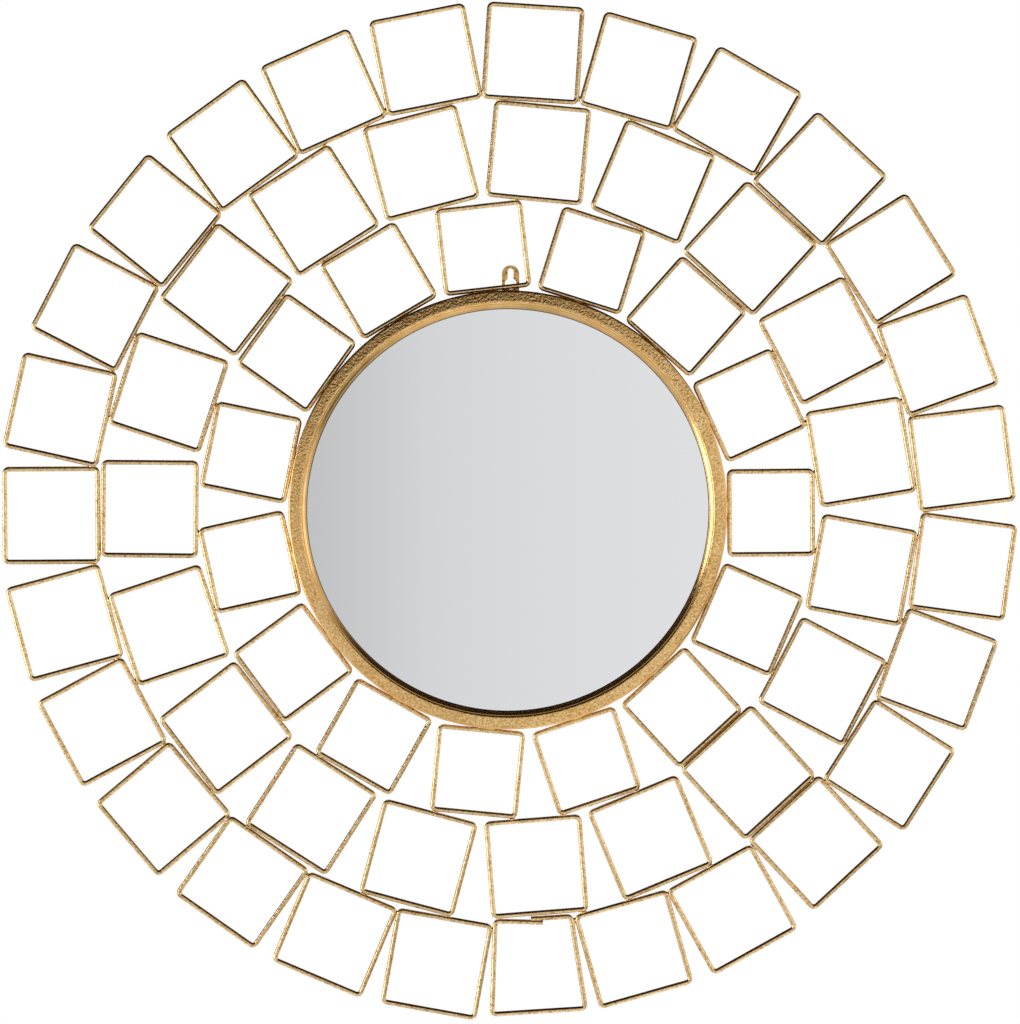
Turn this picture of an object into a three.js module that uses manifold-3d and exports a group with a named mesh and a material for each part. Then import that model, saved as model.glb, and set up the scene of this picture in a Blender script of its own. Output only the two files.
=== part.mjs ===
// Round wall mirror. A gilded sheet-iron frame holds the glass and a backing board. Three rings of
// squares bent from round wire are welded around it, and a keyhole plate at the top hangs it.
// Millimetres. The parts are set out in a front view, x to the right, y up and z out from the wall,
// and the finished group is turned so that +Z is up and the glass faces -Y.
// The origin is on the back of the keyhole plate, just above the end of its slot.
import * as THREE from "three";
import { mergeVertices } from "three/addons/utils/BufferGeometryUtils.js";
import Module from "manifold-3d";

// Driving dimensions
const WIRE = 3.5; // diameter of the wire
const BEND = 5; // outside radius of a square's corners
const SMALL_SQUARE = 70; // outside width of an inner square
const LARGE_SQUARE = 77.8; // outside width of a middle or outer square
const FRAME_RADIUS = 175.2;
const FRAME_DEPTH = 15;
const FACE_SLOPE = 8.4; // run of the rounded face from the outer wall in to its crest
const FACE_RISE = 3; // rise of the face over that run
const CREST_WIDTH = 2.8; // from the crest to the bevel's edge
const CREST_FALL = 0.8; // fall over the crest
const BEVEL_WIDTH = 3.6; // run of the slope from the crest in to the glass
const BEVEL_FALL = 5.5; // fall of that slope
const SHEET = 1.5; // thickness of the frame and of the keyhole plate
const GLASS_THICKNESS = 3;
const BOARD_THICKNESS = 4;
const PLATE_WIDTH = 14;
const PLATE_LENGTH = 31;
const KEYHOLE_RADIUS = 4.6; // lets the screw's head through
const SLOT_WIDTH = 4.6; // holds the screw's shank
const KEYHOLE_DROP = 10; // from the slot's round end down to the keyhole's centre
const PLATE_RIM = 2.4; // metal left above the slot
const CENTRE_DROP = 195; // from the origin down to the middle of the glass
const CENTRE_SHIFT = -2.2; // the plate is welded on a little to the right of the middle
const WIRE_PLANE = 8; // from the wall to the middle of the wire
const GAP = 0.3; // between pieces that touch
const WELD = 0.4; // overlap of two squares welded into a pair

// The rings of squares. Angles are in degrees, clockwise from the top in the front view.
const INNER = { count: 15, first: -5.4, lean: -1.1 };
const MIDDLE = { count: 19, first: 4.9 };
const OUTER = { count: 27, first: 188.9 };
const LEAN_SHARE = 0.2; // how far a square turns towards lying flat on the ring inside it
const MOST_LEAN = 12;
const ROUND_SEGMENTS = 56; // facets round the frame, glass and board
const FACE_SEGMENTS = 3; // facets across the frame's rounded face
const CORNER_POINTS = 2; // points round each corner of a square
const SEARCH_STEPS = 36;

const GILT = new THREE.MeshStandardMaterial({ color: 0xc39a5b, roughness: 0.4, metalness: 1 });
const SILVERED = new THREE.MeshStandardMaterial({ color: 0xd9dadc, roughness: 0.02, metalness: 1 });
const FIBREBOARD = new THREE.MeshStandardMaterial({ color: 0x6b4a30, roughness: 0.85, metalness: 0 });

const wasm = await Module();
wasm.setup();

const radians = THREE.MathUtils.degToRad;
const following = (list, i) => list[(i + 1) % list.length];
const numbered = (name, k) => `${name}_${String(k + 1).padStart(2, "0")}`;

// Corner centres of a square, anticlockwise from the inner left. A closing square is narrower inside.
function coreOf(outsideWidth, innerWidth = outsideWidth) {
  const [inner, half] = [innerWidth / 2 - BEND, outsideWidth / 2 - BEND];
  return [
    [-inner, -half],
    [inner, -half],
    [half, half],
    [-half, half],
  ].map(([x, y]) => new THREE.Vector2(x, y));
}

// The outline that lies `reach` out from the corner centres. Its points stand just off the round
// corners, so that the sides and the middle of each corner are where the true outline has them.
function outline(core, reach) {
  const headings = core.map((corner, i) => following(core, i).clone().sub(corner).angle());
  return core.flatMap((corner, i) => {
    const turn = (headings[i] - headings.at(i - 1) + 2 * Math.PI) % (2 * Math.PI);
    const step = turn / CORNER_POINTS;
    return Array.from({ length: CORNER_POINTS }, (_, k) => {
      const normal = headings.at(i - 1) - Math.PI / 2 + (k + 0.5) * step;
      const distance = reach / Math.cos(step / 2);
      return new THREE.Vector2(Math.cos(normal), Math.sin(normal)).multiplyScalar(distance).add(corner);
    });
  });
}

// A loop of wire round a core. Bevelled edges give the wire eight sides, WIRE across the flats.
function wireLoop(core) {
  const shape = new THREE.Shape(outline(core, BEND));
  shape.holes.push(new THREE.Path(outline(core, BEND - WIRE)));
  const bevel = WIRE * (1 - Math.SQRT1_2);
  const depth = WIRE - 2 * bevel;
  return new THREE.ExtrudeGeometry(shape, {
    depth,
    bevelThickness: bevel,
    bevelSize: bevel,
    bevelOffset: -bevel,
    bevelSegments: 1,
  }).translate(0, 0, WIRE_PLANE - depth / 2);
}

// A square set on its ring: its centre on the spoke at `angle`, turned from that spoke by `lean`.
function setSquare(core, angle, radius, lean) {
  const spoke = radians(angle);
  const centre = new THREE.Vector2(radius * Math.sin(spoke), radius * Math.cos(spoke));
  const turn = -radians(angle + lean);
  const edge = outline(core, BEND).map((p) => p.rotateAround(new THREE.Vector2(), turn).add(centre));
  return { core, angle, centre, turn, edge };
}

// How far all of `points` lies beyond the side of a convex outline that it is furthest from.
function beyond(edge, points) {
  const clear = edge.map((p, i) => {
    const side = following(edge, i).clone().sub(p).normalize();
    return Math.min(...points.map((v) => (v.x - p.x) * side.y - (v.y - p.y) * side.x));
  });
  return Math.max(...clear);
}

// Clear width between two squares, negative where they overlap.
const clearance = (a, b) => Math.max(beyond(a.edge, b.edge), beyond(b.edge, a.edge));

// The value between low and high at which `excess` turns from negative to positive.
function crossing(low, high, excess) {
  for (let i = 0; i < SEARCH_STEPS; i++) {
    const middle = (low + high) / 2;
    if (excess(middle) < 0) low = middle;
    else high = middle;
  }
  return high;
}

// The radius at which a square, pushed in along its spoke, meets the ring inside it.
function pushedIn(core, angle, lean, inside) {
  const facing = (s) => Math.cos(radians(s.angle - angle)) > Math.SQRT1_2;
  const near = inside.filter(facing);
  const start = near[0].centre.length() + SMALL_SQUARE / 2;
  return crossing(start, start + LARGE_SQUARE, (radius) => {
    const square = setSquare(core, angle, radius, lean);
    return Math.min(...near.map((s) => clearance(square, s))) - GAP;
  });
}

// The lean at which a square lies flat on two points of the ring inside it, where it reaches furthest in.
function flatLean(core, angle, inside) {
  let [low, high] = [-MOST_LEAN, MOST_LEAN];
  for (let i = 0; i < SEARCH_STEPS; i++) {
    const third = (high - low) / 3;
    const falls = pushedIn(core, angle, low + third, inside) > pushedIn(core, angle, high - third, inside);
    if (falls) low += third;
    else high -= third;
  }
  return (low + high) / 2;
}

// The inner squares stand on the frame, each touching it with one side.
function innerRing() {
  const radius = (FRAME_RADIUS + GAP + SMALL_SQUARE / 2) / Math.cos(radians(INNER.lean));
  return Array.from({ length: INNER.count }, (_, k) => {
    const angle = INNER.first + (k * 360) / INNER.count;
    return setSquare(coreOf(SMALL_SQUARE), angle, radius, INNER.lean);
  });
}

// The middle squares are evenly spaced, and each is pushed in until it meets an inner square.
function middleRing(inside) {
  const core = coreOf(LARGE_SQUARE);
  return Array.from({ length: MIDDLE.count }, (_, k) => {
    const angle = MIDDLE.first + (k * 360) / MIDDLE.count;
    const lean = LEAN_SHARE * flatLean(core, angle, inside);
    return setSquare(core, angle, pushedIn(core, angle, lean, inside), lean);
  });
}

// The outer squares go round clockwise, each against the one before. Every second one is welded to it.
function outerRing(inside) {
  const core = coreOf(LARGE_SQUARE);
  const pitch = 360 / OUTER.count;
  const squares = [];
  for (let k = 0; k < OUTER.count - 1; k++) {
    const before = squares.at(-1);
    const guess = before ? before.angle + pitch : OUTER.first;
    const lean = LEAN_SHARE * flatLean(core, guess, inside);
    const place = (angle) => setSquare(core, angle, pushedIn(core, angle, lean, inside), lean);
    const apart = k % 2 ? -WELD : GAP;
    const beside = (angle) => clearance(place(angle), before) - apart;
    squares.push(place(before ? crossing(guess - pitch / 2, guess + pitch / 2, beside) : guess));
  }
  return squares;
}

// The last square of the outer ring is narrowed on its inner side to fit the space that is left.
function closingSquare(inside, first, last) {
  const angle = (last.angle + first.angle + 360) / 2;
  const place = (narrowing) => {
    const core = coreOf(LARGE_SQUARE, LARGE_SQUARE - narrowing);
    return setSquare(core, angle, pushedIn(core, angle, 0, inside), 0);
  };
  const room = (square) => Math.min(clearance(square, first), clearance(square, last)) - GAP;
  return place(crossing(0, LARGE_SQUARE / 2, (narrowing) => room(place(narrowing))));
}

function squareMesh(square, name) {
  const mesh = new THREE.Mesh(wireLoop(square.core), GILT);
  mesh.name = name;
  mesh.position.set(square.centre.x, square.centre.y, 0);
  mesh.rotation.z = square.turn;
  return mesh;
}

function toSolid(mesh) {
  mesh.updateMatrix();
  const geometry = mesh.geometry.clone().applyMatrix4(mesh.matrix);
  geometry.deleteAttribute("normal");
  geometry.deleteAttribute("uv");
  const merged = mergeVertices(geometry);
  return new wasm.Manifold(
    new wasm.Mesh({
      numProp: 3,
      vertProperties: merged.attributes.position.array,
      triVerts: new Uint32Array(merged.index.array),
    }),
  );
}

// Two neighbouring squares joined at the corner where they are welded.
function pairMesh(first, second, name) {
  const joined = toSolid(squareMesh(first)).add(toSolid(squareMesh(second))).getMesh();
  const geometry = new THREE.BufferGeometry()
    .setAttribute("position", new THREE.BufferAttribute(joined.vertProperties, joined.numProp))
    .setIndex(new THREE.BufferAttribute(joined.triVerts, 1));
  const mesh = new THREE.Mesh(geometry, GILT);
  mesh.name = name;
  return mesh;
}

// A piece turned about the mirror's axis from a profile of [radius, distance from the wall].
function turned(name, profile, material) {
  const points = profile.map(([radius, out]) => new THREE.Vector2(radius, out));
  const mesh = new THREE.Mesh(new THREE.LatheGeometry(points, ROUND_SEGMENTS), material);
  mesh.name = name;
  mesh.rotation.x = Math.PI / 2;
  return mesh;
}

// Distances from the wall
const FRAME_BACK = SHEET + GAP;
const FACE_EDGE = FRAME_BACK + FRAME_DEPTH - FACE_RISE;
const BEVEL_EDGE = FACE_EDGE + FACE_RISE - CREST_FALL;
const BEVEL_END = BEVEL_EDGE - BEVEL_FALL;
const GLASS_FRONT = BEVEL_END - GAP;
const GLASS_BACK = GLASS_FRONT - GLASS_THICKNESS;
const BOARD_FRONT = GLASS_BACK - GAP;
const BOARD_BACK = BOARD_FRONT - BOARD_THICKNESS;

// Distances from the mirror's axis
const WALL_INSIDE = FRAME_RADIUS - SHEET;
const CREST = FRAME_RADIUS - FACE_SLOPE;
const BEVEL_RADIUS = CREST - CREST_WIDTH;
const SIGHT_RADIUS = BEVEL_RADIUS - BEVEL_WIDTH;
const GLASS_RADIUS = WALL_INSIDE - 2 * GAP;

// The frame is a channel of sheet iron, open at the back: outer wall, rounded face and inner bevel.
function frame() {
  const face = Array.from({ length: FACE_SEGMENTS + 1 }, (_, k) => {
    const around = (k * Math.PI) / 2 / FACE_SEGMENTS;
    return [CREST + FACE_SLOPE * Math.cos(around), FACE_EDGE + FACE_RISE * Math.sin(around)];
  });
  const back = [FRAME_RADIUS, FRAME_BACK];
  const inside = [
    [BEVEL_RADIUS, BEVEL_EDGE],
    [SIGHT_RADIUS, BEVEL_END],
    [SIGHT_RADIUS + SHEET, BEVEL_END],
    [BEVEL_RADIUS + SHEET, FACE_EDGE],
    [WALL_INSIDE, FACE_EDGE - SHEET],
    [WALL_INSIDE, FRAME_BACK],
  ];
  return turned("mirror_frame", [back, ...face, ...inside, back], GILT);
}

function disc(name, radius, back, front, material) {
  const profile = [
    [0, back],
    [radius, back],
    [radius, front],
    [0, front],
  ];
  return turned(name, profile, material);
}

// The keyhole plate stands on the back of the frame: a strip with a round top, pierced by the keyhole.
function hangerPlate() {
  const half = PLATE_WIDTH / 2;
  const top = PLATE_RIM / 2;
  const slotEnd = -PLATE_RIM / 2 - SLOT_WIDTH / 2;
  const keyhole = slotEnd - KEYHOLE_DROP;
  const shoulder = Math.asin(SLOT_WIDTH / 2 / KEYHOLE_RADIUS);
  const shape = new THREE.Shape();
  shape.moveTo(-half, top - PLATE_LENGTH);
  shape.lineTo(half, top - PLATE_LENGTH);
  shape.absarc(0, top - half, half, 0, Math.PI);
  shape.closePath();
  const hole = new THREE.Path();
  hole.absarc(0, slotEnd, SLOT_WIDTH / 2, 0, Math.PI);
  hole.absarc(0, keyhole, KEYHOLE_RADIUS, Math.PI / 2 + shoulder, Math.PI * 2.5 - shoulder);
  hole.closePath();
  shape.holes.push(hole);
  const geometry = new THREE.ExtrudeGeometry(shape, { depth: SHEET, bevelEnabled: false, curveSegments: 6 });
  const mesh = new THREE.Mesh(geometry, GILT);
  mesh.name = "hanger_plate";
  return mesh;
}

const inner = innerRing();
const middle = middleRing(inner);
const outer = outerRing(middle);
const closing = closingSquare(middle, outer[0], outer.at(-1));

// Everything that is centred on the glass
const round = new THREE.Group();
round.position.set(CENTRE_SHIFT, -CENTRE_DROP, 0);
round.add(
  frame(),
  disc("mirror_glass", GLASS_RADIUS, GLASS_BACK, GLASS_FRONT, SILVERED),
  disc("backing_board", GLASS_RADIUS, BOARD_BACK, BOARD_FRONT, FIBREBOARD),
  ...inner.map((square, k) => squareMesh(square, numbered("inner_square", k))),
  ...middle.map((square, k) => squareMesh(square, numbered("middle_square", k))),
  squareMesh(closing, "outer_closing_square"),
);
for (let k = 0; k < outer.length / 2; k++)
  round.add(pairMesh(outer[2 * k], outer[2 * k + 1], numbered("outer_pair", k)));

const mirror = new THREE.Group();
mirror.name = "wall_mirror";
mirror.rotation.x = Math.PI / 2;
mirror.add(round, hangerPlate());

export default mirror;
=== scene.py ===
# Round wall mirror: a gilded frame and glass, ringed by squares of gilt wire.
# Metres, in the model's frame: the glass faces -Y, the wall is the plane y = 0 and +Z is up.
import math
import random

import bmesh
import bpy
import numpy as np
from mathutils import Matrix, Vector


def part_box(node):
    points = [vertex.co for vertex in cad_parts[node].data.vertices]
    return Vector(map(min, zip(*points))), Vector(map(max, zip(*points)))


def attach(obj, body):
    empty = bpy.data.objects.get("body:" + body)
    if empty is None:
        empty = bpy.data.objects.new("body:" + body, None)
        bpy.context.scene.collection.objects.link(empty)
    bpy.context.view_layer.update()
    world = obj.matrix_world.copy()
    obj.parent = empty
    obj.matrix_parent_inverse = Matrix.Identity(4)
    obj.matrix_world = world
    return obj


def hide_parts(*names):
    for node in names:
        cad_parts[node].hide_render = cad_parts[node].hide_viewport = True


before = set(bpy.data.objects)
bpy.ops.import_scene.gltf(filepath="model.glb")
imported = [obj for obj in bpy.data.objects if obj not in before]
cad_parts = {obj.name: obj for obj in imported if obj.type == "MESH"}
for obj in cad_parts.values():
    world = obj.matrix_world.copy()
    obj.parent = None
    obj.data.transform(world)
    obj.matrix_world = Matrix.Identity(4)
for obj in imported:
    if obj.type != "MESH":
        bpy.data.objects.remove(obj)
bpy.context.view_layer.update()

MM = 0.001

# Places and sizes read from the model
glass_low, glass_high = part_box("mirror_glass")
frame_low, frame_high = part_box("mirror_frame")
board_low, board_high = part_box("backing_board")
plate_low, plate_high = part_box("hanger_plate")
wire_low, wire_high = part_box("inner_square_01")
AXIS = np.array([(glass_low.x + glass_high.x) / 2, (glass_low.z + glass_high.z) / 2])
FRAME_RADIUS = (frame_high.x - frame_low.x) / 2
GLASS_RADIUS = (glass_high.x - glass_low.x) / 2
WIRE = wire_high.y - wire_low.y
WIRE_PLANE = (wire_high.y + wire_low.y) / 2

# The frame's section. The groove and the corner are set in from the sight edge by shares of the bevel.
FACE_SLOPE = 8.4 * MM
FACE_RISE = 3 * MM
CREST_WIDTH = 2.8 * MM
CREST_FALL = 0.8 * MM
BEVEL_WIDTH = 3.6 * MM
BEVEL_FALL = 5.5 * MM
SHEET = 1.5 * MM
SHOULDER = 1.75 * MM
CREST_EASE = 0.1 * MM
QUIRK = 0.6 * MM
QUIRK_LIP = 0.2 * MM
GROOVE_INSET, GROOVE_LIFT = 0.45, 0.4
CORNER_INSET = 0.28
FRAME_SEGMENTS = 1800
GRAIN_SIZE = 2 * MM
GRAIN_RELIEF = 0.32 * MM

# The wire squares. The lap's ends are shares of the edge, and a lean is in degrees.
BEND = 5 * MM
BEND_STEPS = 8
GILDING = 0.2 * MM
WIRE_SIDES = 12
WIRE_STEP = 1.25 * MM
WIRE_UNEVENNESS = 0.35 * MM
WIRE_SWAY = 45 * MM
WIRE_GRAIN = 2.4 * MM
WIRE_RELIEF = 0.07 * MM
LAP_START, LAP_END = 0.38, 0.53
LEAN_LIMIT, LEAN_TRIALS = 8, 1601
JOINT_CLEARANCE = math.radians(0.5)

# The weld beads
PATH_STEP = 0.5 * MM
NEIGHBOUR_REACH = 1.5
WELD_REACH = 1.1 * MM
WELD_LENGTH = 2.6 * MM
FRAME_WELD_LENGTH = 8 * MM
FRAME_WELD_GAP = 0.2 * MM
WELD_DEPTH = 1.8 * MM
WELD_WIDTH = 1.35 * MM
WELD_SPREAD = (0.8, 1.25)
WELD_DEPTH_SPREAD = (0.9, 1.1)
WELD_GRAIN = 1.8 * MM
WELD_RELIEF = 0.35 * MM
WELD_SEED = 7

# The keyhole plate
PLATE_RIM = 2.4 * MM
SLOT_WIDTH = 4.6 * MM
KEYHOLE_RADIUS = 4.6 * MM
KEYHOLE_DROP = 10 * MM
PLATE_EDGE = 0.25 * MM

# The glass and the board. A face is shaded flat where its normal has FLAT_FACE or more along the axis.
GLASS_EASE = 0.4 * MM
GLASS_SEGMENTS = 360
BOARD_EASE = 0.6 * MM
BOARD_SEGMENTS = 240
EDGE_STEPS = 4
FLAT_FACE = 0.999

# Patterns in the finishes. A band texture repeats every BAND_LENGTH at a scale of 1.
LEAF_MOTTLE = 18 * MM
TURNED_LINE = 1.3 * MM
GLASS_HAZE = 60 * MM
BOARD_FIBRE = 2.2 * MM
BOARD_STAIN = 70 * MM
PRESS_MESH = 1.6 * MM
BAND_LENGTH = 0.31

# The photograph
PIXEL = 0.8 * MM
PHOTO_WIDTH, PHOTO_HEIGHT = 1020, 1024
PHOTO_AXIS = (507.8, 509.9)
LENS, SENSOR = 100, 36

# The stage
FLOOR_HEIGHT = -1.55
FLOOR_LEFT, FLOOR_RIGHT = -6, 6
FLOOR_NEAR, FLOOR_FAR = -7, 3.5
CEILING_DIRECTION = (-0.24, 0.0, 0.97)
SCREEN_DIRECTION = (0.75, -0.5, -0.43)
OVERHEAD_STRENGTH = 3.0
OVERHEAD_SPREAD = math.radians(70)
OVERHEAD_TILT = math.radians(-20)

scene = bpy.context.scene
pick = random.Random(WELD_SEED)


def linear(hex_colour):
    """An sRGB hex colour as linear red, green, blue and alpha."""
    parts = [int(hex_colour[i : i + 2], 16) / 255 for i in (1, 3, 5)]
    return (*[c / 12.92 if c <= 0.04045 else ((c + 0.055) / 1.055) ** 2.4 for c in parts], 1.0)


def add(tree, kind, settings=None, inputs=None):
    """Adds a node. Settings are its properties. Inputs are values or sockets to link, by name or number."""
    node = tree.nodes.new(kind)
    for name, value in (settings or {}).items():
        setattr(node, name, value)
    for name, value in (inputs or {}).items():
        if isinstance(value, bpy.types.NodeSocket):
            tree.links.new(value, node.inputs[name])
        else:
            node.inputs[name].default_value = value
    return node


def set_stops(node, stops):
    """Sets a colour ramp's stops, given as position and hex colour."""
    elements = node.color_ramp.elements
    while len(elements) < len(stops):
        elements.new(0.5)
    for element, (position, colour) in zip(elements, stops):
        element.position = position
        element.color = linear(colour)
    return node


def new_material(name):
    material = bpy.data.materials.new(name)
    material.use_nodes = True
    material.node_tree.nodes.clear()
    return material, material.node_tree


def finish_material(tree, shader):
    add(tree, "ShaderNodeOutputMaterial", inputs={"Surface": shader.outputs["BSDF"]})


# Materials


def gilt_material(name, grain, stops, rough, bump, turned_profile=False):
    """Gold leaf over iron, rubbed back: a warm metal with fine grain, brown in its pits, pale on its tops.
    On the turned frame the grain stops at the bevel, which has turned lines, and dark umber painted as shade
    in its corners, its groove and along the glass."""
    material, tree = new_material(name)
    place = add(tree, "ShaderNodeTexCoord").outputs["Object"]
    pattern = add(
        tree,
        "ShaderNodeTexNoise",
        inputs={"Vector": place, "Scale": 1 / grain, "Detail": 2.0, "Roughness": 0.55},
    ).outputs["Fac"]
    leaf = add(
        tree,
        "ShaderNodeTexNoise",
        inputs={"Vector": place, "Scale": 1 / LEAF_MOTTLE, "Detail": 4.0, "Roughness": 0.65},
    ).outputs["Fac"]
    if turned_profile:
        across = add(tree, "ShaderNodeAttribute", {"attribute_name": "across"}).outputs["Fac"]
        lines = add(
            tree,
            "ShaderNodeTexNoise",
            {"noise_dimensions": "1D"},
            {"W": across, "Scale": 1 / TURNED_LINE, "Detail": 2.0},
        ).outputs["Fac"]
        faint = add(tree, "ShaderNodeMapRange", inputs={"Value": lines, "To Min": 0.38, "To Max": 0.56})
        grainy = add(tree, "ShaderNodeAttribute", {"attribute_name": "grainy"}).outputs["Fac"]
        pattern = add(
            tree, "ShaderNodeMix", inputs={0: grainy, 2: faint.outputs["Result"], 3: pattern}
        ).outputs[0]
    blend = add(tree, "ShaderNodeMix", inputs={0: 0.25, 2: pattern, 3: leaf}).outputs[0]
    colour = set_stops(add(tree, "ShaderNodeValToRGB", inputs={"Fac": blend}), stops).outputs["Color"]
    if turned_profile:
        # The dark umber mixed in by this attribute is painted shade: in the quirk, the groove and the
        # corner, and darkest along the glass edge.
        painted_shade = add(tree, "ShaderNodeAttribute", {"attribute_name": "painted_shade"}).outputs["Fac"]
        colour = add(
            tree,
            "ShaderNodeMix",
            {"data_type": "RGBA"},
            {0: painted_shade, 6: colour, 7: linear("#2E1A0E")},
        ).outputs[2]
    roughness = add(
        tree,
        "ShaderNodeMapRange",
        inputs={"Value": blend, "From Min": 0.35, "From Max": 0.7, "To Min": rough[1], "To Max": rough[0]},
    )
    relief = add(
        tree, "ShaderNodeBump", inputs={"Strength": 1.0, "Distance": bump, "Height": pattern}
    )
    shader = add(
        tree,
        "ShaderNodeBsdfPrincipled",
        inputs={
            "Base Color": colour,
            "Metallic": 1.0,
            "Roughness": roughness.outputs["Result"],
            "Normal": relief.outputs["Normal"],
        },
    )
    finish_material(tree, shader)
    return material


def silvered_glass():
    """Float glass silvered at the back: a clean, slightly cool mirror."""
    material, tree = new_material("silvered_glass")
    place = add(tree, "ShaderNodeTexCoord").outputs["Object"]
    haze = add(
        tree, "ShaderNodeTexNoise", inputs={"Vector": place, "Scale": 1 / GLASS_HAZE, "Detail": 2.0}
    ).outputs["Fac"]
    roughness = add(
        tree, "ShaderNodeMapRange", inputs={"Value": haze, "To Min": 0.015, "To Max": 0.045}
    )
    shader = add(
        tree,
        "ShaderNodeBsdfPrincipled",
        inputs={
            "Base Color": linear("#F1F2F3"),
            "Metallic": 1.0,
            "Roughness": roughness.outputs["Result"],
        },
    )
    finish_material(tree, shader)
    return material


def hardboard():
    """Pressed fibreboard, screen side out: dull brown, flecked with fibres, marked by a mesh."""
    material, tree = new_material("hardboard")
    place = add(tree, "ShaderNodeTexCoord").outputs["Object"]
    fibres = add(
        tree,
        "ShaderNodeTexNoise",
        inputs={"Vector": place, "Scale": 1 / BOARD_FIBRE, "Detail": 5.0, "Distortion": 1.2},
    ).outputs["Fac"]
    stains = add(
        tree, "ShaderNodeTexNoise", inputs={"Vector": place, "Scale": 1 / BOARD_STAIN, "Detail": 3.0}
    ).outputs["Fac"]
    blend = add(tree, "ShaderNodeMix", inputs={0: 0.4, 2: fibres, 3: stains}).outputs[0]
    colour = set_stops(
        add(tree, "ShaderNodeValToRGB", inputs={"Fac": blend}),
        [(0.3, "#3F2A1A"), (0.5, "#5E4029"), (0.7, "#7C5A3C")],
    )
    across, upward = [
        add(
            tree,
            "ShaderNodeTexWave",
            {"wave_type": "BANDS", "bands_direction": axis},
            {"Vector": place, "Scale": BAND_LENGTH / PRESS_MESH, "Distortion": 0.4},
        ).outputs["Fac"]
        for axis in ("X", "Z")
    ]
    screen = add(tree, "ShaderNodeMath", {"operation": "MULTIPLY"}, {0: across, 1: upward})
    relief = add(
        tree,
        "ShaderNodeBump",
        inputs={"Strength": 0.5, "Distance": 0.2 * MM, "Height": screen.outputs[0]},
    )
    shader = add(
        tree,
        "ShaderNodeBsdfPrincipled",
        inputs={
            "Base Color": colour.outputs["Color"],
            "Roughness": 0.82,
            "Normal": relief.outputs["Normal"],
        },
    )
    finish_material(tree, shader)
    return material


def pale_paper():
    """A plain pale floor."""
    material, tree = new_material("pale_floor")
    shader = add(
        tree, "ShaderNodeBsdfPrincipled", inputs={"Base Color": linear("#EFEEEC"), "Roughness": 0.9}
    )
    finish_material(tree, shader)
    return material


# Building helpers


def link(name, mesh):
    piece = bpy.data.objects.new(name, mesh)
    scene.collection.objects.link(piece)
    return piece


def new_tree(name, sizes):
    """A geometry tree with geometry in and out, and a named input for each size."""
    tree = bpy.data.node_groups.new(name, "GeometryNodeTree")
    tree.interface.new_socket("Geometry", in_out="INPUT", socket_type="NodeSocketGeometry")
    for label, kind in sizes.items():
        tree.interface.new_socket(label, in_out="INPUT", socket_type="NodeSocket" + kind)
    tree.interface.new_socket("Geometry", in_out="OUTPUT", socket_type="NodeSocketGeometry")
    return tree, add(tree, "NodeGroupInput").outputs


def end_tree(tree, geometry, finish):
    """Ends a tree in real, smooth faces with their finish."""
    smooth = add(tree, "GeometryNodeSetShadeSmooth", inputs={"Geometry": geometry})
    real = add(tree, "GeometryNodeRealizeInstances", inputs={"Geometry": smooth.outputs[0]})
    dressed = add(
        tree, "GeometryNodeSetMaterial", inputs={"Geometry": real.outputs[0], "Material": finish}
    )
    add(tree, "NodeGroupOutput", inputs={"Geometry": dressed.outputs[0]})
    return tree


def roughened(tree, geometry, grain, relief, mask=None):
    """Moves a surface in and out along its normals by noise of one grain size."""
    place = add(tree, "GeometryNodeInputPosition").outputs[0]
    scale = add(tree, "ShaderNodeMath", {"operation": "DIVIDE"}, {0: 1.0, 1: grain}).outputs[0]
    noise = add(
        tree, "ShaderNodeTexNoise", inputs={"Vector": place, "Scale": scale, "Detail": 1.5}
    ).outputs["Fac"]
    centred = add(tree, "ShaderNodeMath", {"operation": "SUBTRACT"}, {0: noise, 1: 0.5}).outputs[0]
    height = add(tree, "ShaderNodeMath", {"operation": "MULTIPLY"}, {0: centred, 1: relief}).outputs[0]
    if mask:
        height = add(tree, "ShaderNodeMath", {"operation": "MULTIPLY"}, {0: height, 1: mask}).outputs[0]
    normal = add(tree, "GeometryNodeInputNormal").outputs[0]
    offset = add(
        tree, "ShaderNodeVectorMath", {"operation": "SCALE"}, {"Vector": normal, "Scale": height}
    ).outputs[0]
    return add(
        tree, "GeometryNodeSetPosition", inputs={"Geometry": geometry, "Offset": offset}
    ).outputs[0]


def grown(name, base, tree, sizes):
    """The plain mesh piece that a geometry tree grows from a base mesh."""
    seed = link(name + "_base", base)
    modifier = seed.modifiers.new(tree.name, "NODES")
    modifier.node_group = tree
    for item in tree.interface.items_tree:
        if item.in_out == "INPUT" and item.name in sizes:
            modifier[item.identifier] = sizes[item.name]
    grown_mesh = bpy.data.meshes.new_from_object(seed.evaluated_get(bpy.context.evaluated_depsgraph_get()))
    bpy.data.objects.remove(seed)
    return link(name, grown_mesh)


def place_on_model(piece, material_slot, *nodes):
    """Makes a piece ride on the part and stand for its CAD nodes. The material slot is not used."""
    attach(piece, "root")
    if nodes:
        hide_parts(*nodes)


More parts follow.
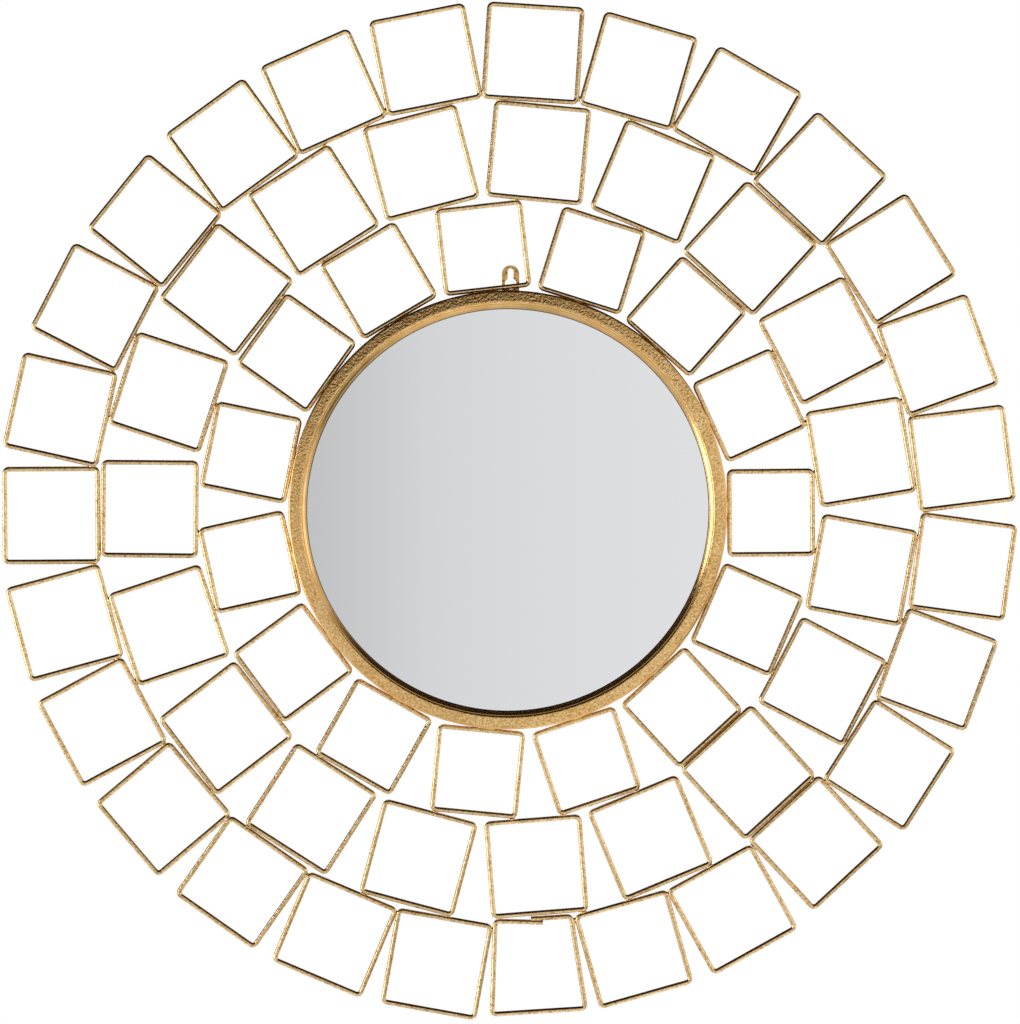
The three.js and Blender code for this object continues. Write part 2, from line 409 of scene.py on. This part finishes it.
def turned(name, profile, segments, closed):
    """A mesh swept about the mirror's axis from a profile of (radius, y). An open one is capped flat."""
    angles = np.linspace(0, 2 * math.pi, segments, endpoint=False)
    radius, depth = np.array(profile).T
    count = len(profile)
    x = AXIS[0] + np.outer(np.sin(angles), radius)
    z = AXIS[1] + np.outer(np.cos(angles), radius)
    y = np.broadcast_to(depth, x.shape)
    places = np.stack([x, y, z], axis=-1).reshape(-1, 3)
    faces = []
    for i in range(segments):
        here, there = i * count, (i + 1) % segments * count
        for j in range(count if closed else count - 1):
            k = (j + 1) % count
            faces.append((here + j, here + k, there + k, there + j))
    if not closed:
        faces.append([i * count for i in range(segments)])
        faces.append([i * count + count - 1 for i in range(segments)])
    mesh = bpy.data.meshes.new(name)
    mesh.from_pydata(places.tolist(), [], faces)
    shell = bmesh.new()
    shell.from_mesh(mesh)
    bmesh.ops.recalc_face_normals(shell, faces=shell.faces)
    shell.to_mesh(mesh)
    shell.free()
    return mesh


# The wire squares


def outline_points(node):
    """A CAD node's points as (x, z) about the mirror's axis."""
    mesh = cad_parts[node].data
    flat = np.empty(len(mesh.vertices) * 3)
    mesh.vertices.foreach_get("co", flat)
    return flat.reshape(-1, 3)[:, [0, 2]] - AXIS


def split_pair(points):
    """The points of each square of a welded pair, without those at the corner where the two are joined."""
    heading = math.atan2(*points.mean(axis=0))
    around = np.arctan2(points[:, 0], points[:, 1]) - heading
    around = (around + math.pi) % (2 * math.pi) - math.pi
    around -= (around.min() + around.max()) / 2
    return [points[around < -JOINT_CLEARANCE], points[around > JOINT_CLEARANCE]]


def corners_of(points, narrowed):
    """The sharp corners of a square's centre line, from its solid's outline. Its turn and width are those of
    the smallest box round its outer half, which no weld of a pair reaches. A narrowed one tapers inwards."""
    spoke = math.atan2(*points.mean(axis=0))
    reach = points @ np.array([math.sin(spoke), math.cos(spoke)])
    outer = reach > (reach.min() + reach.max()) / 2
    turns = spoke + np.radians(np.linspace(-LEAN_LIMIT, LEAN_LIMIT, LEAN_TRIALS))
    across = np.outer(np.cos(turns), points[:, 0]) - np.outer(np.sin(turns), points[:, 1])
    out = np.outer(np.sin(turns), points[:, 0]) + np.outer(np.cos(turns), points[:, 1])
    best = np.argmin(np.ptp(across[:, outer], axis=1) * np.ptp(out[:, outer], axis=1))
    turn, across, out = turns[best], across[best], out[best]
    low, high = out.min(), out.max()
    rows = []
    for sign in (-1, 1):
        far = np.flatnonzero(outer)[np.argmax(sign * across[outer])]
        near = np.flatnonzero(~outer)[np.argmax(sign * across[~outer])]
        slope = (across[far] - across[near]) / (out[far] - out[near]) if narrowed else 0
        inset = sign * WIRE / 2 * math.hypot(1, slope)
        for height in (low + WIRE / 2, high - WIRE / 2):
            rows.append((across[far] + slope * (height - out[far]) - inset, height))
    left_in, left_out, right_in, right_out = np.array(rows)
    loop = np.array([left_in, right_in, right_out, left_out])
    u = np.array([math.cos(turn), -math.sin(turn)])
    v = np.array([math.sin(turn), math.cos(turn)])
    return loop[:, :1] * u + loop[:, 1:] * v


def wire_base(name, loops, lapped):
    """Runs of edges through the squares' corners. A lapped square's wire isn't closed: its ends lie side by
    side on the edge nearest the mirror, the first one inside the square."""
    places, edges = [], []
    for number, loop in enumerate(loops):
        run = list(loop)
        if number in lapped:
            first, second, third, fourth = loop
            inward = (fourth - first) / np.linalg.norm(fourth - first)
            start = first + (second - first) * LAP_START + inward * WIRE
            end = first + (second - first) * LAP_END
            run = [start, second, third, fourth, first, end]
        begin = len(places)
        places += [(x + AXIS[0], WIRE_PLANE, z + AXIS[1]) for x, z in run]
        edges += [(begin + k, begin + k + 1) for k in range(len(run) - 1)]
        if number not in lapped:
            edges.append((begin + len(run) - 1, begin))
    mesh = bpy.data.meshes.new(name)
    mesh.from_pydata(places, edges, [])
    return mesh


def bent_wire_tree():
    """Bends round wire through each run of edges, a little unevenly, as by hand over a former."""
    tree, given = new_tree(
        "bent_wire",
        {
            "Wire radius": "Float",
            "Bend radius": "Float",
            "Sides": "Int",
            "Step": "Float",
            "Unevenness": "Float",
            "Grain size": "Float",
            "Relief": "Float",
            "Finish": "Material",
        },
    )
    loops = add(tree, "GeometryNodeMeshToCurve", inputs={"Mesh": given["Geometry"]})
    bent = add(
        tree,
        "GeometryNodeFilletCurve",
        {"mode": "POLY"},
        {"Curve": loops.outputs[0], "Radius": given["Bend radius"], "Count": BEND_STEPS},
    )
    even = add(
        tree,
        "GeometryNodeResampleCurve",
        {"mode": "LENGTH"},
        {"Curve": bent.outputs[0], "Length": given["Step"]},
    )
    place = add(tree, "GeometryNodeInputPosition").outputs[0]
    sway = add(
        tree, "ShaderNodeTexNoise", inputs={"Vector": place, "Scale": 1 / WIRE_SWAY, "Detail": 1.0}
    ).outputs["Color"]
    centred = add(
        tree, "ShaderNodeVectorMath", {"operation": "SUBTRACT"}, {0: sway, 1: (0.5, 0.5, 0.5)}
    ).outputs[0]
    offset = add(
        tree,
        "ShaderNodeVectorMath",
        {"operation": "SCALE"},
        {"Vector": centred, "Scale": given["Unevenness"]},
    ).outputs[0]
    swayed = add(
        tree, "GeometryNodeSetPosition", inputs={"Geometry": even.outputs[0], "Offset": offset}
    )
    section = add(
        tree,
        "GeometryNodeCurvePrimitiveCircle",
        inputs={"Resolution": given["Sides"], "Radius": given["Wire radius"]},
    )
    wire = add(
        tree,
        "GeometryNodeCurveToMesh",
        inputs={"Curve": swayed.outputs[0], "Profile Curve": section.outputs[0], "Fill Caps": True},
    )
    gilded = roughened(tree, wire.outputs[0], given["Grain size"], given["Relief"])
    return end_tree(tree, gilded, given["Finish"])


def rounded(loop):
    """Points along a square's centre line, with its corners bent, about PATH_STEP apart."""
    radius = BEND - WIRE / 2
    path = []
    for i, corner in enumerate(loop):
        before = loop[i - 1] - corner
        after = loop[(i + 1) % 4] - corner
        before, after = before / np.linalg.norm(before), after / np.linalg.norm(after)
        half = math.acos(np.clip(before @ after, -1, 1)) / 2
        start, end = corner + before * radius / math.tan(half), corner + after * radius / math.tan(half)
        middle = corner + (before + after) / np.linalg.norm(before + after) * radius / math.sin(half)
        swing = [start - middle, end - middle]
        for share in np.linspace(0, 1, BEND_STEPS + 1):
            arm = swing[0] * (1 - share) + swing[1] * share
            path.append(middle + arm / np.linalg.norm(arm) * radius)
    path = np.array(path)
    onward = np.roll(path, -1, axis=0)
    run = []
    for a, b in zip(path, onward):
        steps = max(1, int(np.linalg.norm(b - a) / PATH_STEP))
        run.extend(a + (b - a) * k / steps for k in range(steps))
    return np.array(run)


def weld_points(loops):
    """Where wires touch each other or the frame.
    Each row is a place, the direction along its bead and half the bead's length."""
    paths = [rounded(loop) for loop in loops]
    centres = [loop.mean(axis=0) for loop in loops]
    reach = max(np.linalg.norm(loop[1] - loop[0]) for loop in loops) * NEIGHBOUR_REACH
    found = []
    for i, path in enumerate(paths):
        radii = np.linalg.norm(path, axis=1)
        nearest = np.argmin(radii)
        if radii[nearest] - WIRE / 2 - FRAME_RADIUS < WELD_REACH:
            out = path[nearest] / radii[nearest]
            place = out * (FRAME_RADIUS + FRAME_WELD_GAP)
            found.append((place, np.array([out[1], -out[0]]), FRAME_WELD_LENGTH))
        for j in range(i + 1, len(paths)):
            if np.linalg.norm(centres[i] - centres[j]) > reach:
                continue
            apart = np.linalg.norm(path[:, None] - paths[j][None], axis=2)
            a, b = np.unravel_index(np.argmin(apart), apart.shape)
            if apart[a, b] - WIRE < WELD_REACH:
                across = (paths[j][b] - path[a]) / apart[a, b]
                place = (path[a] + paths[j][b]) / 2
                found.append((place, np.array([across[1], -across[0]]), WELD_LENGTH))
    return found


def weld_base(name, found):
    """A point for each bead, with its direction and its size as attributes."""
    mesh = bpy.data.meshes.new(name)
    mesh.from_pydata([(p[0] + AXIS[0], WIRE_PLANE, p[1] + AXIS[1]) for p, _, _ in found], [], [])
    along = mesh.attributes.new("along", "FLOAT_VECTOR", "POINT")
    size = mesh.attributes.new("size", "FLOAT_VECTOR", "POINT")
    for i, (_, direction, length) in enumerate(found):
        along.data[i].vector = (direction[0], 0, direction[1])
        grow = pick.uniform(*WELD_SPREAD)
        depth = WELD_DEPTH * pick.uniform(*WELD_DEPTH_SPREAD)
        size.data[i].vector = (length * grow, depth, WELD_WIDTH * grow)
    return mesh


def weld_tree():
    """Sets a lumpy bead on each point, lying along the wires that it joins."""
    tree, given = new_tree("weld_beads", {"Grain size": "Float", "Relief": "Float", "Finish": "Material"})
    bead = add(tree, "GeometryNodeMeshIcoSphere", inputs={"Radius": 1.0, "Subdivisions": 2})
    along = add(tree, "GeometryNodeInputNamedAttribute", {"data_type": "FLOAT_VECTOR"}, {"Name": "along"})
    size = add(tree, "GeometryNodeInputNamedAttribute", {"data_type": "FLOAT_VECTOR"}, {"Name": "size"})
    turn = add(
        tree,
        "FunctionNodeAlignRotationToVector",
        {"axis": "X"},
        {"Vector": along.outputs["Attribute"]},
    )
    beads = add(
        tree,
        "GeometryNodeInstanceOnPoints",
        inputs={
            "Points": given["Geometry"],
            "Instance": bead.outputs["Mesh"],
            "Rotation": turn.outputs[0],
            "Scale": size.outputs["Attribute"],
        },
    )
    real = add(tree, "GeometryNodeRealizeInstances", inputs={"Geometry": beads.outputs[0]})
    lumpy = roughened(tree, real.outputs[0], given["Grain size"], given["Relief"])
    return end_tree(tree, lumpy, given["Finish"])


def build_wires(finish):
    """The three rings of bent wire squares, and the weld beads between them."""
    tree = bent_wire_tree()
    every = []
    rings = {"inner_ring": "inner_square", "middle_ring": "middle_square", "outer_ring": "outer_"}
    for ring, start in rings.items():
        nodes = sorted(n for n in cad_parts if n.startswith(start))
        loops, lapped = [], set()
        for node in nodes:
            points = outline_points(node)
            closing = "closing" in node
            if closing:
                lapped.add(len(loops))
            for part in split_pair(points) if "pair" in node else [points]:
                loops.append(corners_of(part, narrowed=closing))
        sizes = {
            "Wire radius": WIRE / 2 + GILDING,
            "Bend radius": BEND - WIRE / 2,
            "Sides": WIRE_SIDES,
            "Step": WIRE_STEP,
            "Unevenness": WIRE_UNEVENNESS,
            "Grain size": WIRE_GRAIN,
            "Relief": WIRE_RELIEF,
            "Finish": finish,
        }
        piece = grown(ring + "_of_wire_squares", wire_base(ring, loops, lapped), tree, sizes)
        place_on_model(piece, "gilded_iron", *nodes)
        every += loops
    beads = weld_base("weld_beads", weld_points(every))
    sizes = {"Grain size": WELD_GRAIN, "Relief": WELD_RELIEF, "Finish": finish}
    place_on_model(grown("weld_beads", beads, weld_tree(), sizes), "gilded_iron")


# The frame


def arc(centre, semi_axes, start, end, steps):
    """Points round part of an ellipse, from one angle to another in degrees."""
    angles = np.radians(np.linspace(start, end, steps + 1))
    return [(centre[0] + semi_axes[0] * math.cos(a), centre[1] + semi_axes[1] * math.sin(a)) for a in angles]


def between(a, b, steps):
    """Points along a straight run, without its ends."""
    return [tuple(np.array(a) + (np.array(b) - np.array(a)) * k / steps) for k in range(1, steps)]


def frame_profile():
    """The frame's section, from its outer wall over the face and the bevel to its inside.
    Each row is a point as (radius, y), how grainy the gilding is there and how dark the shade painted there
    is."""
    front = frame_low.y
    back = frame_high.y
    crest = FRAME_RADIUS - FACE_SLOPE
    edge = front + FACE_RISE
    bevel = (crest - CREST_WIDTH, front + CREST_FALL)
    sight = (bevel[0] - BEVEL_WIDTH, bevel[1] + BEVEL_FALL)
    groove = (sight[0] + GROOVE_INSET * BEVEL_WIDTH, sight[1] - GROOVE_LIFT * BEVEL_FALL)
    corner = (sight[0] + CORNER_INSET * BEVEL_WIDTH, sight[1] - CORNER_INSET * BEVEL_FALL)
    face_end = (crest, front + CREST_EASE)
    shoulder = (FRAME_RADIUS - SHOULDER, front + FACE_RISE)
    tilt = math.degrees(math.atan2(FACE_RISE - SHOULDER, FACE_SLOPE - SHOULDER))
    rows = []

    def run(points, grain, shade_depth=0.0):
        rows.extend((point, grain, shade_depth) for point in points)

    run([(FRAME_RADIUS, back)], grain=0.2)
    run(between((FRAME_RADIUS, back), (FRAME_RADIUS, edge), steps=6), grain=0.3)
    run(arc(shoulder, (SHOULDER, -SHOULDER), 0, 90 - tilt, steps=7), grain=0.1)
    run(between(rows[-1][0], face_end, steps=14), grain=1.0)
    run([face_end, (crest - CREST_WIDTH / 2, front)], grain=0.7)
    run([(bevel[0] + QUIRK, bevel[1] - QUIRK_LIP)], grain=0.3)
    # The darkness these rows carry from here on is painted shade: in the quirk, the groove and the corner,
    # and darkest at the sight edge against the glass.
    run([(bevel[0] + QUIRK / 2, bevel[1] + QUIRK / 2)], grain=0.0, shade_depth=0.35)
    run([bevel, *between(bevel, groove, steps=5)], grain=0.0, shade_depth=0.06)
    run([groove], grain=0.0, shade_depth=0.5)
    run(between(groove, corner, steps=3), grain=0.0)
    run([corner], grain=0.0, shade_depth=0.1)
    run([sight, (sight[0] + SHEET, sight[1])], grain=0.0, shade_depth=0.9)
    run([(bevel[0] + SHEET, edge), (FRAME_RADIUS - SHEET, edge + SHEET)], grain=0.0)
    run([(FRAME_RADIUS - SHEET, back)], grain=0.2)
    return rows


def grain_tree():
    """Raises the frame's gilded grain where its attribute says."""
    tree, given = new_tree("gilded_grain", {"Grain size": "Float", "Relief": "Float", "Finish": "Material"})
    mask = add(tree, "GeometryNodeInputNamedAttribute", {"data_type": "FLOAT"}, {"Name": "grainy"})
    rough = roughened(
        tree, given["Geometry"], given["Grain size"], given["Relief"], mask.outputs["Attribute"]
    )
    return end_tree(tree, rough, given["Finish"])


def build_frame(finish):
    rows = frame_profile()
    points = np.array([point for point, _, _ in rows])
    across = np.cumsum(np.linalg.norm(np.diff(points, axis=0, prepend=points[:1]), axis=1))
    mesh = turned("mirror_frame_gilded", points, FRAME_SEGMENTS, closed=True)
    values = {"grainy": [row[1] for row in rows], "painted_shade": [row[2] for row in rows], "across": across}
    for name, along_profile in values.items():
        layer = mesh.attributes.new(name, "FLOAT", "POINT")
        layer.data.foreach_set("value", np.tile(along_profile, FRAME_SEGMENTS))
    sizes = {"Grain size": GRAIN_SIZE, "Relief": GRAIN_RELIEF, "Finish": finish}
    piece = grown("gilded_frame", mesh, grain_tree(), sizes)
    place_on_model(piece, "gilded_iron", "mirror_frame")


# Glass, board and keyhole plate


def eased_disc(name, radius, low, high, ease, segments, finish):
    """A flat disc with its edges eased."""
    core = radius - ease
    profile = [(core / 2, low)]
    profile += arc((core, low + ease), (ease, ease), -90, 0, EDGE_STEPS)
    profile += arc((core, high - ease), (ease, ease), 0, 90, EDGE_STEPS)
    profile += [(core / 2, high)]
    mesh = turned(name, profile, segments, closed=False)
    mesh.materials.append(finish)
    mesh.polygons.foreach_set("use_smooth", [abs(face.normal.y) < FLAT_FACE for face in mesh.polygons])
    return link(name, mesh)


def build_glass(finish):
    piece = eased_disc(
        "silvered_mirror_glass", GLASS_RADIUS, glass_low.y, glass_high.y, GLASS_EASE, GLASS_SEGMENTS, finish
    )
    place_on_model(piece, "mirror_glass", "mirror_glass")


def build_board(finish):
    radius = (board_high.x - board_low.x) / 2
    piece = eased_disc(
        "hardboard_back", radius, board_low.y, board_high.y, BOARD_EASE, BOARD_SEGMENTS, finish
    )
    place_on_model(piece, "hardboard", "backing_board")


def build_plate(finish):
    """The keyhole plate, a punched strip with rounded edges."""
    half = (plate_high.x - plate_low.x) / 2
    thickness = plate_high.y - plate_low.y
    top, foot = plate_high.z, plate_low.z
    slot_end = -PLATE_RIM / 2 - SLOT_WIDTH / 2
    keyhole = slot_end - KEYHOLE_DROP
    shoulder = math.degrees(math.asin(SLOT_WIDTH / 2 / KEYHOLE_RADIUS))
    strip = [(-half, foot), (half, foot), *arc((0, top - half), (half, half), 0, 180, steps=32)]
    hole = arc((0, slot_end), (SLOT_WIDTH / 2, SLOT_WIDTH / 2), 0, 180, steps=20)
    round_part = (KEYHOLE_RADIUS, KEYHOLE_RADIUS)
    hole += arc((0, keyhole), round_part, 90 + shoulder, 450 - shoulder, steps=40)
    curve = bpy.data.curves.new("keyhole_plate_outline", "CURVE")
    curve.dimensions = "2D"
    curve.fill_mode = "BOTH"
    curve.extrude = thickness / 2 - PLATE_EDGE
    curve.bevel_depth = PLATE_EDGE
    curve.bevel_resolution = 2
    curve.offset = -PLATE_EDGE
    for outline in (strip, hole):
        spline = curve.splines.new("POLY")
        spline.points.add(len(outline) - 1)
        spline.use_cyclic_u = True
        for point, (x, z) in zip(spline.points, outline):
            point.co = (x, z, 0, 1)
    flat = link("keyhole_plate_flat", curve)
    mesh = bpy.data.meshes.new_from_object(flat.evaluated_get(bpy.context.evaluated_depsgraph_get()))
    bpy.data.objects.remove(flat)
    stand = Matrix.Translation((0, plate_high.y - thickness / 2, 0)) @ Matrix.Rotation(math.pi / 2, 4, "X")
    mesh.transform(stand)
    mesh.materials.clear()
    mesh.materials.append(finish)
    place_on_model(link("keyhole_hanger_plate", mesh), "gilded_iron", "hanger_plate")


# Stage


def build_floor():
    """A pale floor below the view, out of the mirror's sight."""
    mesh = bpy.data.meshes.new("floor")
    near = [(FLOOR_LEFT, FLOOR_NEAR), (FLOOR_RIGHT, FLOOR_NEAR)]
    places = [*near, (FLOOR_RIGHT, FLOOR_FAR), (FLOOR_LEFT, FLOOR_FAR)]
    mesh.from_pydata([(x, y, FLOOR_HEIGHT) for x, y in places], [], [(0, 1, 2, 3)])
    mesh.materials.append(pale_paper())
    floor = link("floor", mesh)
    floor.visible_glossy = False


def build_world():
    """A studio round the mirror: grey before it, lighter to its right, dark overhead, with a dark screen
    low on the right. The camera sees plain white."""
    world = bpy.data.worlds.new("studio")
    scene.world = world
    world.use_nodes = True
    tree = world.node_tree
    tree.nodes.clear()
    direction = add(tree, "ShaderNodeTexCoord").outputs["Generated"]
    axes = add(tree, "ShaderNodeSeparateXYZ", inputs={0: direction})
    side = add(
        tree,
        "ShaderNodeMapRange",
        inputs={"Value": axes.outputs["X"], "From Min": -1.0, "From Max": 1.0},
    )
    walls = set_stops(
        add(tree, "ShaderNodeValToRGB", inputs={"Fac": side.outputs["Result"]}),
        [
            (0.0, "#F2F0EE"),
            (0.34, "#E4E2E0"),
            (0.43, "#C9C9CA"),
            (0.45, "#C4C4C5"),
            (0.468, "#CECECF"),
            (0.485, "#DFDFE0"),
            (0.5, "#E5E5E6"),
            (0.53, "#EBEBEB"),
            (0.7, "#F0EEEC"),
            (1.0, "#F6F4F2"),
        ],
    )
    upward = add(
        tree,
        "ShaderNodeVectorMath",
        {"operation": "DOT_PRODUCT"},
        {0: direction, 1: CEILING_DIRECTION},
    )
    raised = add(
        tree,
        "ShaderNodeMapRange",
        inputs={"Value": upward.outputs["Value"], "From Min": -1.0, "From Max": 1.0},
    )
    ceiling = set_stops(
        add(tree, "ShaderNodeValToRGB", inputs={"Fac": raised.outputs["Result"]}),
        [(0.61, "#FFFFFF"), (0.66, "#B0A493"), (0.71, "#24160A"), (1.0, "#140B05")],
    )
    studio = add(
        tree,
        "ShaderNodeMix",
        {"data_type": "RGBA", "blend_type": "MULTIPLY"},
        {0: 1.0, 6: walls.outputs["Color"], 7: ceiling.outputs["Color"]},
    ).outputs[2]
    below = add(
        tree,
        "ShaderNodeMapRange",
        inputs={
            "Value": axes.outputs["Z"],
            "From Min": -0.35,
            "From Max": -1.0,
            "To Min": 1.0,
            "To Max": 1.4,
        },
    )
    towards_screen = add(
        tree,
        "ShaderNodeVectorMath",
        {"operation": "DOT_PRODUCT"},
        {0: direction, 1: SCREEN_DIRECTION},
    )
    screen = add(
        tree,
        "ShaderNodeMapRange",
        {"interpolation_type": "SMOOTHSTEP"},
        {
            "Value": towards_screen.outputs["Value"],
            "From Min": 0.89,
            "From Max": 0.97,
            "To Min": 1.0,
            "To Max": 0.2,
        },
    )
    strength = add(
        tree,
        "ShaderNodeMath",
        {"operation": "MULTIPLY"},
        {0: below.outputs["Result"], 1: screen.outputs["Result"]},
    ).outputs[0]
    room = add(tree, "ShaderNodeBackground", inputs={"Color": studio, "Strength": strength})
    ground = add(tree, "ShaderNodeBackground", inputs={"Color": linear("#FFFFFF"), "Strength": 1.0})
    seen = add(tree, "ShaderNodeLightPath").outputs["Is Camera Ray"]
    both = add(tree, "ShaderNodeMixShader", inputs={0: seen, 1: room.outputs[0], 2: ground.outputs[0]})
    add(tree, "ShaderNodeOutputWorld", inputs={"Surface": both.outputs[0]})


def soft_light(name, place, target, size, watts):
    """A soft box of a given width and height, aimed at a point."""
    lamp = bpy.data.lights.new(name, "AREA")
    lamp.shape = "RECTANGLE"
    lamp.size, lamp.size_y = size
    lamp.energy = watts
    box = bpy.data.objects.new(name, lamp)
    scene.collection.objects.link(box)
    box.location = place
    box.rotation_euler = (Vector(target) - Vector(place)).to_track_quat("-Z", "Y").to_euler()


def overhead_light():
    """Even, wide light from above, for the floor and the back. The metal and the glass don't reflect it."""
    lamp = bpy.data.lights.new("overhead_light", "SUN")
    lamp.energy = OVERHEAD_STRENGTH
    lamp.angle = OVERHEAD_SPREAD
    sun = bpy.data.objects.new("overhead_light", lamp)
    scene.collection.objects.link(sun)
    sun.rotation_euler = (OVERHEAD_TILT, 0, 0)
    sun.visible_glossy = False


def build_camera():
    """The camera squarely in front, so that a photograph's pixel is PIXEL wide at the wires."""
    data = bpy.data.cameras.new("camera")
    data.lens = LENS
    data.sensor_width = SENSOR
    camera = bpy.data.objects.new("camera", data)
    scene.collection.objects.link(camera)
    distance = LENS / SENSOR * PHOTO_HEIGHT * PIXEL
    x = AXIS[0] + (PHOTO_WIDTH / 2 - PHOTO_AXIS[0]) * PIXEL
    z = AXIS[1] - (PHOTO_HEIGHT / 2 - PHOTO_AXIS[1]) * PIXEL
    camera.location = (x, WIRE_PLANE - distance, z)
    camera.rotation_euler = (math.pi / 2, 0, 0)
    scene.camera = camera


def build_stage():
    middle = (AXIS[0], 0, AXIS[1])
    build_floor()
    build_world()
    soft_light("left_strip_box", place=(-2.3, -1.0, -0.3), target=middle, size=(0.75, 1.7), watts=22)
    soft_light("right_strip_box", place=(2.3, -1.0, -0.3), target=middle, size=(0.6, 1.7), watts=4)
    overhead_light()
    build_camera()
    scene.view_settings.view_transform = "Standard"


WIRE_GILT = gilt_material(
    "gilt_wire",
    grain=1.7 * MM,
    stops=[(0.34, "#AC8348"), (0.47, "#E0BD86"), (0.64, "#F3DDB2")],
    rough=(0.15, 0.28),
    bump=0.18 * MM,
)
FRAME_GILT = gilt_material(
    "gilt_grained_frame",
    grain=1.8 * MM,
    stops=[(0.34, "#C09050"), (0.48, "#E5B874"), (0.62, "#F4D6A0")],
    rough=(0.14, 0.28),
    bump=0.42 * MM,
    turned_profile=True,
)
PLATE_GILT = gilt_material(
    "gilt_plate",
    grain=2.4 * MM,
    stops=[(0.34, "#8A6430"), (0.5, "#D3A961"), (0.66, "#E4C080")],
    rough=(0.24, 0.36),
    bump=0.08 * MM,
)

build_wires(WIRE_GILT)
build_frame(FRAME_GILT)
build_glass(silvered_glass())
build_board(hardboard())
build_plate(PLATE_GILT)
build_stage()
